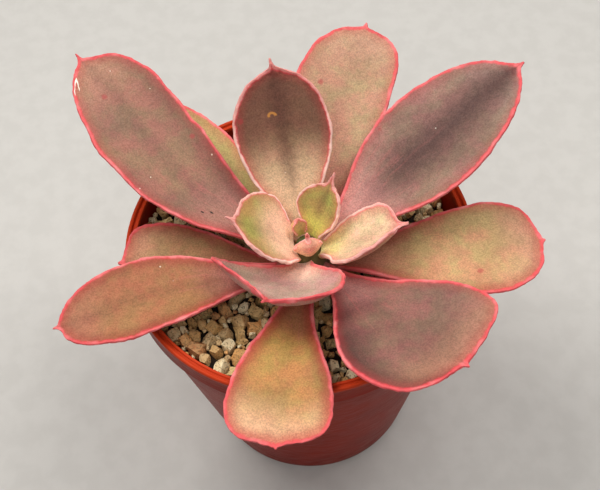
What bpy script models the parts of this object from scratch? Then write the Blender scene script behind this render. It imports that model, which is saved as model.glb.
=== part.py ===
"""Potted rosette succulent: a moulded plastic pot, potting mix, a gravel top dressing, a stem and its leaves.

Metres, +Z up. The origin is the centre of the pot's underside, which stands on Z = 0, and -Y is the front.
Each leaf is its own object. It grows from the stem at an azimuth and a height, and bends as it runs outwards.
"""

import math
from types import SimpleNamespace

import bmesh
import bpy
from mathutils import Matrix, Vector, noise

MM = 0.001

# Pot: a tapered thin-walled moulding with a rim band outside, a ledge inside the lip and drain holes.
POT_HEIGHT = 98 * MM
POT_RIM_RADIUS = 55 * MM
POT_BASE_RADIUS = 36.5 * MM
POT_WALL = 1.2 * MM
POT_FLOOR = 1.6 * MM
RIM_BAND_HEIGHT = 9 * MM
RIM_STEP = 1.7 * MM
LIP_WIDTH = 1.4 * MM
LEDGE_DROP = 0.8 * MM
LEDGE_WIDTH = 1.0 * MM
BASE_CORNER_RADIUS = 3 * MM
DRAIN_HOLES = 8
DRAIN_HOLE_RADIUS = 3 * MM
DRAIN_RING_RADIUS = 26 * MM

# Fill: potting mix below, gravel above. The gravel slopes up to one side and dips round the stem.
HEADSPACE = 8 * MM
GRAVEL_DEPTH = 12 * MM
GRAVEL_SLOPE = 0.05
GRAVEL_HIGH_SIDE = math.radians(235)
GRAVEL_DIP = 1.5 * MM
GRAVEL_DIP_RADIUS = 18 * MM
GRAVEL_BUMP = 1.6 * MM
GRAVEL_GRAIN = 5 * MM
GRAVEL_RINGS = 10
GAP = 0.3 * MM

# Stem: rooted in the mix, it ends in the growing point. Leaf heights are counted from the crown.
STEM_RADIUS = 6.5 * MM
STEM_TIP_RADIUS = 1.6 * MM
STEM_ROOT_DEPTH = 30 * MM
STEM_ROOT_RADIUS = 4 * MM
STEM_X = 2 * MM
STEM_Y = -9 * MM
CROWN_BELOW_RIM = 4 * MM
CROWN_ABOVE_GRAVEL = 4 * MM
CROWN_HEIGHT = 15 * MM

# Leaves: thickness on the midrib and, as a share of it, at the margin and the spine.
LEAF_THICKNESS = 2.8 * MM
MARGIN_SHARE = 0.36
SPINE_SHARE = 0.22
LEAF_GAP = 0.5 * MM
LEAF_ROWS = 12
LEAF_COLUMNS = 6
SPINE_ROWS = 3
SPINE_ROOT = 0.9 * MM
SPINE_POINT = 0.12 * MM
BLADE_SHARE = 0.985

# The crown sits high enough for the lower leaves to clear both the gravel and the rim.
GRAVEL_Z = POT_HEIGHT - HEADSPACE
MIX_Z = GRAVEL_Z - GRAVEL_DEPTH
CROWN_Z = max(GRAVEL_Z + CROWN_ABOVE_GRAVEL, POT_HEIGHT - CROWN_BELOW_RIM)
ROUND_STEPS = 48


def leaf(name, azimuth, height, length, pitch, width, tone, **shape):
    """One leaf's measures in degrees and millimetres. A pair is its value at the stem and at the tip.

    azimuth and height place the leaf on the stem, and pitch is the midrib's angle above level. swing is how
    far the midrib curves sideways, roll its twist, and cup how far each half of the blade turns up. neck is
    the width at the stem, widest the share of the length where the full width is, and rise and blunt shape the
    margin before and after it. bulge widens the left half, skew moves its widest place out towards the tip,
    and spine is the length of the point at the tip.
    """
    measures = dict(neck=5, widest=0.62, cup=(25, 8), roll=(0, 0), swing=0, spine=4, bulge=0, blunt=2.3,
                    rise=1.8, skew=0)
    measures.update(shape)
    return SimpleNamespace(name=name, azimuth=azimuth, height=height, length=length, pitch=pitch,
                           width=width, tone=tone, **measures)


# Finishes: base colour and roughness.
FINISHES = {
    "pot": ((0.42, 0.085, 0.04), 0.42),
    "potting_mix": ((0.05, 0.032, 0.02), 0.95),
    "gravel": ((0.58, 0.45, 0.25), 0.9),
    "stem": ((0.3, 0.17, 0.1), 0.8),
    "leaf_tan": ((0.5, 0.3, 0.2), 0.6),
    "leaf_olive": ((0.4, 0.3, 0.13), 0.6),
    "leaf_rose": ((0.52, 0.32, 0.28), 0.6),
    "leaf_mauve": ((0.34, 0.2, 0.2), 0.6),
    "leaf_dark": ((0.26, 0.17, 0.14), 0.6),
    "leaf_green": ((0.45, 0.4, 0.16), 0.6),
}

LEAVES = [
    leaf("lower_leaf_left", 178, -1, 50, (19, 2), 27, "tan", widest=0.78, blunt=3, roll=(-6, -8),
         spine=2),
    leaf("lower_leaf_front_left", 199, 2.8, 71, (19, -3), 25, "tan", swing=-7, widest=0.66, blunt=2.2,
         rise=2, bulge=-0.18, roll=(-4, -6), spine=2.4),
    leaf("lower_leaf_front", 255, 0, 57, (22, -8), 31, "tan", neck=8, swing=8, widest=0.82, blunt=2.8,
         rise=2.5, spine=1.2),
    leaf("lower_leaf_front_right", 318, -0.8, 45, (23, -2), 18, "tan", swing=8, spine=2),
    leaf("lower_leaf_right", -9, 2.9, 65, (16, 0), 33, "tan", swing=12, widest=0.72, bulge=-0.1, blunt=2.6,
         spine=1.6),
    leaf("lower_leaf_back_left", 129, 0.6, 70, (18, 6), 24, "olive", spine=2),
    leaf("main_leaf_back", 69, 3, 72, (25, 28), 32, "rose", neck=4, bulge=0.22, blunt=3, roll=(4, 4),
         spine=2.2),
    leaf("main_leaf_back_left", 145, 5, 87, (28, 22), 33, "mauve", swing=-16, bulge=0.14, skew=-0.14,
         blunt=2.2, rise=1.6),
    leaf("main_leaf_back_right", 28, 5.6, 80, (38, 18), 36.5, "mauve", bulge=-0.05, widest=0.56, blunt=1.9,
         spine=3),
    leaf("main_leaf_front_right", 306.5, 5.4, 60, (25, 8), 43, "mauve", neck=6, swing=5, bulge=-0.04,
         skew=0.1, widest=0.73, blunt=3.1, rise=3.2, spine=1.8),
    leaf("upper_leaf_back", 98, 7, 53, (44, 58), 30, "dark"),
    leaf("upper_leaf_front", 253, 8.8, 27.5, (20, 44), 45, "rose", neck=6, cup=(38, 36), swing=-26,
         bulge=-0.14, roll=(15, 14)),
    leaf("inner_leaf_left", 188, 12, 25, (53, 47), 27, "green", neck=11, widest=0.42, rise=1.1,
         bulge=-0.17, skew=0.12, blunt=2),
    leaf("inner_leaf_right", -8, 9.4, 26.5, (38, 26), 24, "rose", neck=5.5, cup=(48, 52), roll=(-2, -8),
         bulge=-0.36, widest=0.56),
    leaf("inner_leaf_back", 47, 12.3, 18.5, (64, 56), 15, "green", neck=4.5, bulge=0.16, widest=0.5,
         blunt=1.9),
    leaf("heart_leaf_left", 115, 13.8, 6, (84, 74), 5, "green", spine=1, neck=2.5),
    leaf("heart_leaf_front", 280, 13.5, 6, (86, 90), 9, "rose", spine=3, neck=4, widest=0.3, blunt=1.4),
]


def link(obj, collection):
    collection.objects.link(obj)
    return obj


def material(name, colour, roughness, metallic=0.0):
    made = bpy.data.materials.new(name)
    made.use_nodes = True
    shader = made.node_tree.nodes["Principled BSDF"]
    shader.inputs["Base Color"].default_value = (*colour, 1)
    shader.inputs["Roughness"].default_value = roughness
    shader.inputs["Metallic"].default_value = metallic
    return made


def stem_radius(z):
    """The stem's radius at height z: full up to the crown, then tapering to the growing point."""
    share = min(max((z - CROWN_Z) / CROWN_HEIGHT, 0), 1)
    return STEM_RADIUS + (STEM_TIP_RADIUS - STEM_RADIUS) * share**1.3


def half_width(spec, along, hand):
    """The blade's width to one side of the midrib (hand is 1 or -1), at a share of its length."""
    neck, widest = spec.neck * MM / 2, spec.width * MM / 2
    peak = spec.widest + spec.skew * hand
    if along < peak:
        half = neck + (widest - neck) * math.sin(along / peak * math.pi / 2) ** spec.rise
    else:
        share = (along - peak) / (1 - peak)
        half = widest * (1 - share**spec.blunt) ** (1 / spec.blunt)
    return half * (1 + hand * spec.bulge * math.sin(math.pi * min(along, 1)))


def midrib(spec, steps=60):
    """Stations at equal steps from stem to tip: a point and its directions ahead, sideways and up."""
    z = CROWN_Z + spec.height * MM
    turn = math.radians(spec.azimuth)
    start = stem_radius(z) + LEAF_GAP
    point = Vector((STEM_X + start * math.cos(turn), STEM_Y + start * math.sin(turn), z))
    stations = []
    for i in range(steps + 1):
        share = i / steps
        pitch = math.radians(spec.pitch[0] + (spec.pitch[1] - spec.pitch[0]) * share)
        yaw = turn + math.radians(spec.swing) * share**1.5
        roll = math.radians(spec.roll[0] + (spec.roll[1] - spec.roll[0]) * share)
        ahead = Vector((math.cos(pitch) * math.cos(yaw), math.cos(pitch) * math.sin(yaw), math.sin(pitch)))
        side = Vector((-math.sin(yaw), math.cos(yaw), 0))
        turned = Matrix.Rotation(roll, 3, ahead)
        side = turned @ side
        up = ahead.cross(side)
        stations.append((point.copy(), ahead, side, up))
        point += ahead * (spec.length * MM / steps)
    return stations


def station_at(stations, along):
    """The midrib's point at a share of its length, with the directions of the nearest station."""
    place = along * (len(stations) - 1)
    low = min(int(place), len(stations) - 2)
    point = stations[low][0].lerp(stations[low + 1][0], place - low)
    return point, *stations[round(place)][1:]


def leaf_rows(spec):
    """Each row's (share of the length, distance past the blade, half widths). The spine's rows come last."""
    rows = []
    for i in range(LEAF_ROWS):
        along = math.sin(i / (LEAF_ROWS - 1) * math.pi / 2) ** 1.25 * BLADE_SHARE
        rows.append((along, 0.0, (half_width(spec, along, -1), half_width(spec, along, 1))))
    for i in range(SPINE_ROWS):
        share = (i + 1) / SPINE_ROWS
        half = SPINE_ROOT * (1 - share) ** 0.8 + SPINE_POINT
        rows.append((1.0, spec.spine * MM * share, (half, half)))
    return rows


def across_blade(spec, along, across):
    """How far a point across the blade reaches sideways and rises, as shares of the half width."""
    cup = math.radians(spec.cup[0] + (spec.cup[1] - spec.cup[0]) * along)
    reach = math.sin(cup * abs(across)) / cup
    rise = (1 - math.cos(cup * abs(across))) / cup
    return math.copysign(reach, across), rise


def thickness_share(along, past, across):
    """The leaf's thickness as a share of that on the midrib: thin at the margin, the tip and the spine."""
    if past > 0:
        return SPINE_SHARE
    share = MARGIN_SHARE + (1 - MARGIN_SHARE) * (1 - abs(across) ** 2.2)
    return share * (1 - 2.2 * max(0, along - 0.8))


def build_leaf(spec, collection):
    """A grid laid along the midrib and curved across it, thickened downwards by Solidify."""
    rows = leaf_rows(spec)
    stations = midrib(spec)
    mesh = bpy.data.meshes.new(spec.name)
    obj = link(bpy.data.objects.new(spec.name, mesh), collection)
    grid = bmesh.new()
    bmesh.ops.create_grid(grid, x_segments=len(rows) - 1, y_segments=LEAF_COLUMNS, size=1)
    shares = []
    for vertex in grid.verts:
        across = vertex.co.y
        along, past, halves = rows[round((vertex.co.x + 1) / 2 * (len(rows) - 1))]
        half = halves[1] if across > 0 else halves[0]
        point, ahead, side, up = station_at(stations, along)
        reach, rise = across_blade(spec, along, across)
        vertex.co = point + ahead * past + side * reach * half + up * rise * half
        shares.append(thickness_share(along, past, across))
    grid.to_mesh(mesh)
    grid.free()
    group = obj.vertex_groups.new(name="thickness")
    for index, share in enumerate(shares):
        group.add([index], share, "REPLACE")
    flesh = obj.modifiers.new("flesh", "SOLIDIFY")
    flesh.thickness = LEAF_THICKNESS
    flesh.offset = -1
    flesh.vertex_group = group.name
    mesh.shade_smooth()
    return obj


def turned(name, profile, collection, centre=(0, 0)):
    """A solid of revolution. The profile starts and ends on the axis and runs down its outer side."""
    mesh = bpy.data.meshes.new(name)
    mesh.from_pydata([(radius, 0, z) for radius, z in profile],
                     [(i, i + 1) for i in range(len(profile) - 1)], [])
    obj = link(bpy.data.objects.new(name, mesh), collection)
    obj.location = (centre[0], centre[1], 0)
    screw = obj.modifiers.new("turn", "SCREW")
    screw.steps = ROUND_STEPS
    screw.render_steps = ROUND_STEPS
    screw.use_merge_vertices = True
    screw.merge_threshold = 0.00001
    screw.use_smooth_shade = True
    return obj


def cut(obj, cutter):
    modifier = obj.modifiers.new("cut_" + cutter.name, "BOOLEAN")
    modifier.operation = "DIFFERENCE"
    modifier.object = cutter


def cylinder(name, radius, low, high, centres, collection):
    """One cutter made of upright cylinders, one at each centre."""
    mesh = bpy.data.meshes.new(name)
    obj = link(bpy.data.objects.new(name, mesh), collection)
    shape = bmesh.new()
    for x, y in centres:
        bmesh.ops.create_cone(shape, cap_ends=True, segments=24, radius1=radius, radius2=radius,
                              depth=high - low, matrix=Matrix.Translation((x, y, (low + high) / 2)))
    shape.to_mesh(mesh)
    shape.free()
    obj.hide_render = True
    obj.display_type = "WIRE"
    return obj


def body_radius(z):
    """The pot's outer radius below its rim band, at height z."""
    top = POT_RIM_RADIUS - RIM_STEP
    return POT_BASE_RADIUS + (top - POT_BASE_RADIUS) * z / (POT_HEIGHT - RIM_BAND_HEIGHT)


def bore_radius(z):
    """The pot's inner radius at height z, measured square to the axis."""
    return min(body_radius(z), body_radius(POT_HEIGHT - RIM_BAND_HEIGHT)) - POT_WALL


def pot_profile():
    band_foot = POT_HEIGHT - RIM_BAND_HEIGHT
    ledge = POT_HEIGHT - LEDGE_DROP
    bore = bore_radius(POT_HEIGHT)
    lip_inner = POT_RIM_RADIUS - LIP_WIDTH
    inside = [(0, POT_FLOOR), (bore_radius(0) - BASE_CORNER_RADIUS / 2, POT_FLOOR),
              (bore_radius(BASE_CORNER_RADIUS), BASE_CORNER_RADIUS), (bore, band_foot),
              (bore, ledge - LEDGE_WIDTH), (lip_inner - LEDGE_WIDTH, ledge), (lip_inner - 0.2 * MM, ledge)]
    lip = [(lip_inner, POT_HEIGHT - 0.3 * MM), (lip_inner + 0.3 * MM, POT_HEIGHT),
           (POT_RIM_RADIUS - 0.4 * MM, POT_HEIGHT), (POT_RIM_RADIUS, POT_HEIGHT - 0.4 * MM)]
    outside = [(POT_RIM_RADIUS - 0.4 * MM, band_foot), (body_radius(band_foot), band_foot - 0.4 * MM)]
    corner = []
    for step in range(4):
        turn = step / 3 * math.pi / 2
        radius = body_radius(BASE_CORNER_RADIUS) - BASE_CORNER_RADIUS * (1 - math.cos(turn))
        corner.append((radius, BASE_CORNER_RADIUS * (1 - math.sin(turn))))
    return inside + lip + outside + corner + [(0, 0)]


def build_pot(collection, cutters):
    pot = turned("pot", pot_profile(), collection)
    ring = [2 * math.pi * i / DRAIN_HOLES for i in range(DRAIN_HOLES)]
    centres = [(DRAIN_RING_RADIUS * math.cos(turn), DRAIN_RING_RADIUS * math.sin(turn)) for turn in ring]
    cut(pot, cylinder("drain_holes", DRAIN_HOLE_RADIUS, -POT_FLOOR, 2 * POT_FLOOR, centres, cutters))
    return pot


def build_mix(collection, bore):
    low = POT_FLOOR + GAP
    profile = [(0, MIX_Z), (bore_radius(MIX_Z) - GAP, MIX_Z),
               (bore_radius(BASE_CORNER_RADIUS) - GAP, BASE_CORNER_RADIUS + GAP),
               (bore_radius(0) - BASE_CORNER_RADIUS / 2 - GAP, low), (0, low)]
    mix = turned("potting_mix", profile, collection)
    cut(mix, bore)
    return mix


def gravel_top(x, y):
    """The gravel's bumpy surface: level with the headspace, sloped to one side, dipped round the stem."""
    slope = (x * math.cos(GRAVEL_HIGH_SIDE) + y * math.sin(GRAVEL_HIGH_SIDE)) * GRAVEL_SLOPE
    away = math.hypot(x - STEM_X, y - STEM_Y) / GRAVEL_DIP_RADIUS
    dip = GRAVEL_DIP * max(0, 1 - away**2)
    bump = GRAVEL_BUMP * noise.noise(Vector((x, y, 0)) / GRAVEL_GRAIN * 1.3)
    return GRAVEL_Z + slope - dip + bump


def build_gravel(collection, bore):
    """A disc of rings, raised to the gravel's surface and extruded down to the potting mix."""
    mesh = bpy.data.meshes.new("gravel")
    obj = link(bpy.data.objects.new("gravel", mesh), collection)
    shape = bmesh.new()
    bmesh.ops.create_grid(shape, x_segments=ROUND_STEPS, y_segments=GRAVEL_RINGS, size=1)
    for vertex in shape.verts:
        turn = (vertex.co.x + 1) * math.pi
        radius = (vertex.co.y + 1) / 2 * (bore_radius(GRAVEL_Z) - GAP)
        vertex.co = (radius * math.cos(turn), -radius * math.sin(turn), 0)
    bmesh.ops.remove_doubles(shape, verts=shape.verts, dist=0.00001)
    floor = bmesh.ops.extrude_face_region(shape, geom=shape.faces[:])["geom"]
    lowered = [item for item in floor if isinstance(item, bmesh.types.BMVert)]
    for vertex in lowered:
        vertex.co.z = MIX_Z + GAP
    for vertex in set(shape.verts) - set(lowered):
        vertex.co.z = gravel_top(vertex.co.x, vertex.co.y)
    for vertex in shape.verts:
        fit = (bore_radius(vertex.co.z) - GAP) / (bore_radius(GRAVEL_Z) - GAP)
        vertex.co = (vertex.co.x * fit, vertex.co.y * fit, vertex.co.z)
    bmesh.ops.recalc_face_normals(shape, faces=shape.faces)
    shape.to_mesh(mesh)
    shape.free()
    cut(obj, bore)
    return obj


def build_stem(collection):
    foot = MIX_Z - STEM_ROOT_DEPTH
    tip = CROWN_Z + CROWN_HEIGHT
    profile = [(0, tip), (STEM_TIP_RADIUS * 0.7, tip - 0.3 * MM)]
    for step in range(7):
        z = tip - 1 * MM - (CROWN_HEIGHT - 1 * MM) * step / 6
        profile.append((stem_radius(z), z))
    profile += [(STEM_RADIUS, foot + 6 * MM), (STEM_ROOT_RADIUS, foot + 1 * MM), (0, foot)]
    return turned("stem", profile, collection, (STEM_X, STEM_Y))


def main():
    for obj in list(bpy.data.objects):
        bpy.data.objects.remove(obj)
    plant = bpy.data.collections.new("potted_succulent")
    cutters = bpy.data.collections.new("cutters")
    for collection in (plant, cutters):
        bpy.context.scene.collection.children.link(collection)

    bore = cylinder("stem_bore", STEM_RADIUS + GAP, MIX_Z - STEM_ROOT_DEPTH - GAP, POT_HEIGHT,
                    [(STEM_X, STEM_Y)], cutters)
    made = {
        "pot": build_pot(plant, cutters),
        "potting_mix": build_mix(plant, bore),
        "gravel": build_gravel(plant, bore),
        "stem": build_stem(plant),
    }
    finishes = {name: material(name, *FINISHES[name]) for name in FINISHES}
    for name, obj in made.items():
        obj.data.materials.append(finishes[name])
    for spec in LEAVES:
        build_leaf(spec, plant).data.materials.append(finishes["leaf_" + spec.tone])


main()
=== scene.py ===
# %% [markdown]
# # A potted rosette succulent
# A real one is a small greenhouse plant. About a dozen and a half fleshy leaves grow in a spiral round a
# short stem, the youngest in the middle. The stem stands in a thin plastic pot topped with pumice gravel.
# Nothing on it moves, so every piece rides on one body.
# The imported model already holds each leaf's true place, length and curve. This script loads it as a fixed
# frame, takes every position from it, and puts a finer, textured piece where each plain solid stands.

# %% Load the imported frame
import math
import random
from contextlib import contextmanager

import bpy
import numpy as np
from mathutils import Euler, Matrix, Vector
from mathutils.bvhtree import BVHTree
from mathutils.kdtree import KDTree


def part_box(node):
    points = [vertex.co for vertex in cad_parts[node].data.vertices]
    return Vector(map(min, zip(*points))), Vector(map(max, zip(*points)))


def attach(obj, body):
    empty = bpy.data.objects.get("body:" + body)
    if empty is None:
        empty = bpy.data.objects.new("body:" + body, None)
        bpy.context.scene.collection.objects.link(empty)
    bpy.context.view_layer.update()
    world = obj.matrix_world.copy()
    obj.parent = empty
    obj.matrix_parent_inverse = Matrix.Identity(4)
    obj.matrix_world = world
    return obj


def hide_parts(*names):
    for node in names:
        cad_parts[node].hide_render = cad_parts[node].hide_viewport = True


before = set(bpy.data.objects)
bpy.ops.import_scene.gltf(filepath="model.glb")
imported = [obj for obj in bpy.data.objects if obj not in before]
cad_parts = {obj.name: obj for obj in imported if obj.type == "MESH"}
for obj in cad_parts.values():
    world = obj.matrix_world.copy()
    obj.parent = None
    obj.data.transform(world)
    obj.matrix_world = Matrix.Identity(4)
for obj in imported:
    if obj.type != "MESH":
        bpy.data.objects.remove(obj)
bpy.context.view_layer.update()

MM = 0.001
LEAF_NODES = sorted(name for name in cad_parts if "_leaf" in name)
bpy.context.scene.view_settings.view_transform = "Standard"
print(len(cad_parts), "nodes,", len(LEAF_NODES), "of them leaves")

# %% [markdown]
# ## Measures from the frame
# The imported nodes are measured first: the pot's rim and height, the stem's axis and the gravel's outline.
# They could be typed in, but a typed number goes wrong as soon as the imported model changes, so only details
# finer than the frame get numbers of their own.

# %% Measure the pot, the stem and the gravel
def corners(mesh):
    """A mesh's vertices as an array of points."""
    points = np.zeros(len(mesh.vertices) * 3, np.float32)
    mesh.vertices.foreach_get("co", points)
    return points.reshape(-1, 3)


POT_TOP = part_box("pot")[1].z
RIM_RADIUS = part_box("pot")[1].x
pot_points = corners(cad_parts["pot"].data)
pot_radii = np.hypot(pot_points[:, 0], pot_points[:, 1])
FOOT_FLAT = float(pot_radii[pot_points[:, 2] < 0.1 * MM].max())
STEM_LOW, STEM_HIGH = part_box("stem")
STEM_AXIS = Vector(((STEM_LOW.x + STEM_HIGH.x) / 2, (STEM_LOW.y + STEM_HIGH.y) / 2, 0))
STEM_RADIUS = (STEM_HIGH.x - STEM_LOW.x) / 2
BED_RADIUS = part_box("gravel")[1].x
print(f"rim {RIM_RADIUS / MM:.1f}, height {POT_TOP / MM:.1f}, foot {FOOT_FLAT / MM:.1f}, "
      f"stem {STEM_RADIUS / MM:.1f}, bed {BED_RADIUS / MM:.1f} mm")

# %% [markdown]
# ## Helpers for modelling
# Blender's operators act on what is selected, and the loader leaves the frame's nodes selected. A small
# helper that selects one object keeps every edit on the piece that is meant. Others open and close edit mode,
# roughen a surface by a cloudy texture, and apply the modifiers, because a finished piece is plain mesh with
# its place in its vertices.

# %% Select, edit, roughen, apply and hand over
WELD = 0.01 * MM


def select_only(*objects):
    """Selects these objects and nothing else. The first of them is the active one."""
    bpy.ops.object.select_all(action="DESELECT")
    for obj in objects:
        obj.select_set(True)
    if objects:
        bpy.context.view_layer.objects.active = objects[0]


@contextmanager
def editing(select="SELECT"):
    """Edit mode with everything selected, or with the old selection (None). Object mode follows."""
    bpy.ops.object.mode_set(mode="EDIT")
    if select:
        bpy.ops.mesh.select_all(action=select)
    yield
    bpy.ops.object.mode_set(mode="OBJECT")


def add_clouds(obj, name, size, depth, reach, direction="NORMAL", group=""):
    """A Displace modifier that follows a cloudy texture, with its size and reach in millimetres."""
    clouds = bpy.data.textures.new(name, "CLOUDS")
    clouds.noise_scale = size * MM
    clouds.noise_depth = depth
    modifier = obj.modifiers.new(name, "DISPLACE")
    modifier.texture = clouds
    modifier.texture_coords = "LOCAL"
    modifier.direction = direction
    modifier.strength = reach * MM
    modifier.vertex_group = group
    return clouds


def apply_modifiers(obj):
    select_only(obj)
    for modifier in list(obj.modifiers):
        bpy.ops.object.modifier_apply(modifier=modifier.name)


def new_object(name, mesh):
    obj = bpy.data.objects.new(name, mesh)
    bpy.context.scene.collection.objects.link(obj)
    return obj


def hand_over(obj, material, node):
    """Gives the piece its finish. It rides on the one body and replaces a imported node."""
    obj.data.materials.clear()
    obj.data.materials.append(material)
    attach(obj, "root")
    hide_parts(node)
    print(obj.name, len(obj.data.polygons), "faces")


def merged_copy(node, name):
    """A copy of a node's mesh with its loose triangles welded into quads, ready to be shaped further."""
    obj = new_object(name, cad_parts[node].data.copy())
    select_only(obj)
    bpy.ops.mesh.customdata_custom_splitnormals_clear()
    with editing():
        bpy.ops.mesh.remove_doubles(threshold=WELD)
        bpy.ops.mesh.tris_convert_to_quads()
        bpy.ops.mesh.normals_make_consistent(inside=False)
        bpy.ops.mesh.select_all(action="DESELECT")
    return obj


# %% [markdown]
# ## Helpers for materials
# Every finish below is a small network of nodes. A network can be drawn by hand in the shader editor. In code
# it stays readable if one helper adds a node, sets it and joins its inputs, and a few more name the steps
# that come back all the time: a sum, a noise, a smooth ramp between two values, a mix of two colours.

# %% Nodes by name
def place(tree, kind, inputs=None, **settings):
    """Adds a node, sets its properties, and sets or joins its inputs."""
    node = tree.nodes.new("ShaderNode" + kind)
    for key, value in settings.items():
        setattr(node, key, value)
    for key, value in (inputs or {}).items():
        if isinstance(value, bpy.types.NodeSocket):
            tree.links.new(value, node.inputs[key])
        else:
            node.inputs[key].default_value = value
    return node


def noise(tree, vector, scale, detail, roughness, distortion=0.0):
    made = place(tree, "TexNoise", {"Vector": vector, "Scale": scale, "Detail": detail,
                                    "Roughness": roughness, "Distortion": distortion})
    return made.outputs["Fac"]


def ramp(tree, value, start, end, low=0.0, high=1.0):
    """A smooth step: low where the value is at start, high where it is at end."""
    made = place(tree, "MapRange", {"Value": value, "From Min": start, "From Max": end,
                                    "To Min": low, "To Max": high}, interpolation_type="SMOOTHSTEP")
    return made.outputs["Result"]


def calc(tree, operation, first, second=0.0):
    return place(tree, "Math", {0: first, 1: second}, operation=operation).outputs[0]


def times(tree, first, second):
    return calc(tree, "MULTIPLY", first, second)


def plus(tree, first, second):
    return calc(tree, "ADD", first, second)


def minus(tree, first, second):
    return calc(tree, "SUBTRACT", first, second)


def object_point(tree):
    return place(tree, "TexCoord").outputs["Object"]


def blend(tree, factor, first, second, mode="MIX"):
    """Mixes two colours; the factor says how much of the second there is."""
    made = place(tree, "Mix", {0: factor, 6: first, 7: second}, data_type="RGBA", blend_type=mode)
    return made.outputs[2]


def tinted(tree, colour, tone):
    """A colour multiplied by a tone."""
    return blend(tree, 1.0, colour, tone, "MULTIPLY")


def read(tree, name):
    """A number stored on the mesh."""
    return place(tree, "Attribute", attribute_name=name).outputs["Fac"]


def new_group(name, inputs, outputs):
    """A node group with named sockets. Returns it with its input and output sockets."""
    group = bpy.data.node_groups.new(name, "ShaderNodeTree")
    for label, value in inputs.items():
        kind = "NodeSocketColor" if isinstance(value, tuple) else "NodeSocketFloat"
        group.interface.new_socket(label, in_out="INPUT", socket_type=kind).default_value = value
    for label in outputs:
        kind = "NodeSocketColor" if label == "Colour" else "NodeSocketFloat"
        group.interface.new_socket(label, in_out="OUTPUT", socket_type=kind)
    source = group.nodes.new("NodeGroupInput")
    target = group.nodes.new("NodeGroupOutput")
    return group, source.outputs, target.inputs


def use_group(tree, group, values):
    """Places a group in a material with its own values."""
    return place(tree, "Group", values, node_tree=group)


def new_material(name):
    """An empty node material. Returns it with its tree and its Principled shader."""
    material = bpy.data.materials.new(name)
    material.use_nodes = True
    return material, material.node_tree, material.node_tree.nodes["Principled BSDF"]


def dress(tree, shader, colour, roughness, height, depth):
    """Joins a colour, a roughness and a relief to the shader. The relief's depth is in millimetres."""
    bump = place(tree, "Bump", {"Height": height, "Distance": depth * MM, "Strength": 1.0})
    tree.links.new(colour, shader.inputs["Base Color"])
    tree.links.new(roughness, shader.inputs["Roughness"])
    tree.links.new(bump.outputs["Normal"], shader.inputs["Normal"])


# %% [markdown]
# ## Grit, a shared effect
# Pumice, potting mix, the corky stem and even the moulded pot share one thing: their surface is never even.
# Coarse patches lie under fine grain. One node group makes both from a point in space, and every material
# that needs it places the group with its own grain size and contrast.

# %% The grit group
COARSER = 0.22


def build_grit():
    group, given, result = new_group(
        "grit", {"Size mm": 1.0, "Contrast": 0.5}, ["Patches", "Grain", "Height"])
    point = object_point(group)
    scale = calc(group, "DIVIDE", 1 / MM, given["Size mm"])
    coarse = noise(group, point, times(group, scale, COARSER), 3, 0.55)
    fine = noise(group, point, scale, 3, 0.65)
    swing = times(group, minus(group, fine, 0.5), given["Contrast"])
    group.links.new(ramp(group, coarse, 0.35, 0.65), result["Patches"])
    group.links.new(plus(group, swing, 0.5), result["Grain"])
    group.links.new(plus(group, times(group, coarse, 0.6), fine), result["Height"])
    return group


def gritty(tree, size, contrast):
    """Places the group. Returns its patches, its grain and its height."""
    outputs = use_group(tree, GRIT, {"Size mm": size, "Contrast": contrast}).outputs
    return outputs["Patches"], outputs["Grain"], outputs["Height"]


GRIT = build_grit()
print("grit group:", len(GRIT.nodes), "nodes")

# %% [markdown]
# ## The pot
# The real pot is an injection-moulded nursery pot: a tapered wall about a millimetre thick, a deeper collar
# round the top that stacks on the next pot, a rounded lip with a fine groove and a ledge inside it, and drain
# holes. It could be turned with a Screw modifier from an outline, or lathed by Spin.
# Here it is raised the way one pulls a pot on a wheel: a disc is extruded again and again, and each new ring
# is scaled to its radius and lifted to its height. One list of stations then tells the whole section.

# %% The pot's section, as rings of (radius, height) in millimetres
COLLAR_HEIGHT = 9.0
COLLAR_STEP = 1.7
WALL = 1.2
FLOOR = 1.6
CORNER = 3.0
FOOT_RECESS = 0.7
RIM = RIM_RADIUS / MM
TOP = POT_TOP / MM
SHOULDER = TOP - COLLAR_HEIGHT
FOOT = FOOT_FLAT / MM + CORNER * 0.95


def wall_radius(height):
    """The tapered body's outer radius below the collar."""
    return FOOT + (RIM - COLLAR_STEP - FOOT) * height / SHOULDER


def corner_ring(turn):
    """A ring of the rounded corner at the foot, at a turn from 0 (below) to 90 degrees (the wall)."""
    angle = math.radians(turn)
    return wall_radius(CORNER) - CORNER * (1 - math.sin(angle)), CORNER * (1 - math.cos(angle))


# The lip's section: how far in from the rim and how far down from the top each ring lies.
LIP = [(0.35, 2.2), (0.12, 1.5), (0, 0.75), (0.1, 0.3), (0.38, 0.06), (0.7, 0), (1.02, 0.07), (1.28, 0.35),
       (1.4, 1.0), (1.95, 1.02), (2.08, 0.66), (2.4, 0.5), (2.85, 0.62), (3.1, 1.3)]
BORE = RIM - COLLAR_STEP - WALL
POT_RINGS = [
    (FOOT - 7.5, FOOT_RECESS), (FOOT - 6.6, 0.0),
    corner_ring(0), corner_ring(30), corner_ring(60), corner_ring(90),
    (wall_radius(20), 20.0), (wall_radius(45), 45.0), (wall_radius(70), 70.0),
    (wall_radius(SHOULDER - 1.2), SHOULDER - 1.2), (wall_radius(SHOULDER), SHOULDER - 0.4),
    (RIM - 0.75, SHOULDER - 0.1), (RIM - 0.45, SHOULDER + 0.3), (RIM - 0.45, SHOULDER + 1.1),
    *[(RIM - inward, TOP - down) for inward, down in LIP],
    (BORE + 0.45, TOP - 4.6), (BORE, TOP - 6.2), (BORE, SHOULDER),
    (wall_radius(45) - WALL, 45.0), (wall_radius(CORNER) - WALL, CORNER),
    (wall_radius(0) - WALL - CORNER / 2, FLOOR),
]
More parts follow.
